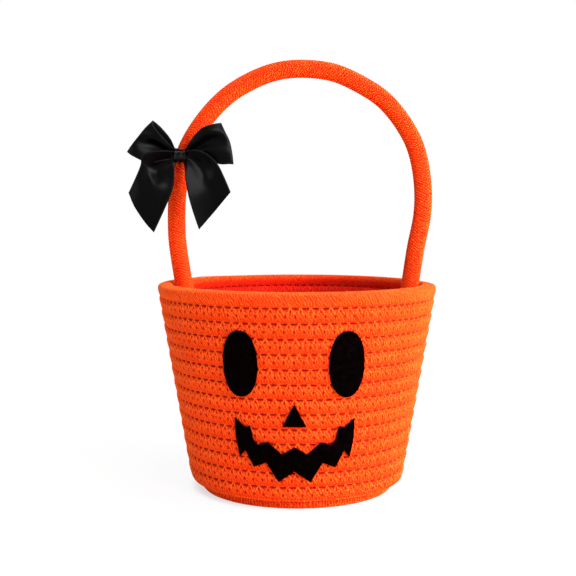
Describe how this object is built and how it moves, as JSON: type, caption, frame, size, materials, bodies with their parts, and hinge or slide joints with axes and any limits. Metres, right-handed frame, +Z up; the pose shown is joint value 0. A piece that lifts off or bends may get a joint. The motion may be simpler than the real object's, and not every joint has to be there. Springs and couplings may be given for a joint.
{
  "type": "rope candy basket",
  "caption": "Round basket of coiled rope with level rows, an upright rope handle, a felt jack-o'-lantern face and a tied ribbon bow, for sweets and small gifts.",
  "frame": {"origin": "centre of the base, on the plane the basket stands on", "axes": "+Z up along the basket's axis, -Y towards the face, +X to the viewer's right of the face"},
  "size_m": [0.1961, 0.1772, 0.2735],
  "materials": {
    "rope": "braided orange cord, matt with a slight sheen",
    "felt": "black felt with a soft nap",
    "ribbon": "black satin ribbon"
  },
  "bodies": {
    "basket": {"base_coil": "rope", "wall_coil": "rope", "handle_foot_left": "rope", "handle_foot_right": "rope", "felt_eye_left": "felt", "felt_eye_right": "felt", "felt_nose": "felt", "felt_mouth": "felt"},
    "handle": {"handle_arch": "rope", "handle_bend_left": "rope", "handle_bend_right": "rope"},
    "bow": {"bow_band": "ribbon", "bow_knot": "ribbon", "bow_loop_left": "ribbon", "bow_loop_right": "ribbon", "bow_tail_left": "ribbon", "bow_tail_right": "ribbon"}
  },
  "joints": [
    {"name": "handle_fold", "type": "hinge", "parent": "basket", "child": "handle", "pos_m": [0, 0, 0.139], "axis": [1, 0, 0], "range_deg": [-60, 60], "stiffness_Nm_per_rad": 0.15, "deforming": ["handle_bend_left", "handle_bend_right"]},
    {"name": "bow_turn", "type": "hinge", "parent": "handle", "child": "bow", "pos_m": [-0.0722, 0, 0.213], "axis": [0.3193, 0, 0.9477], "range_deg": [-30, 5]}
  ]
}
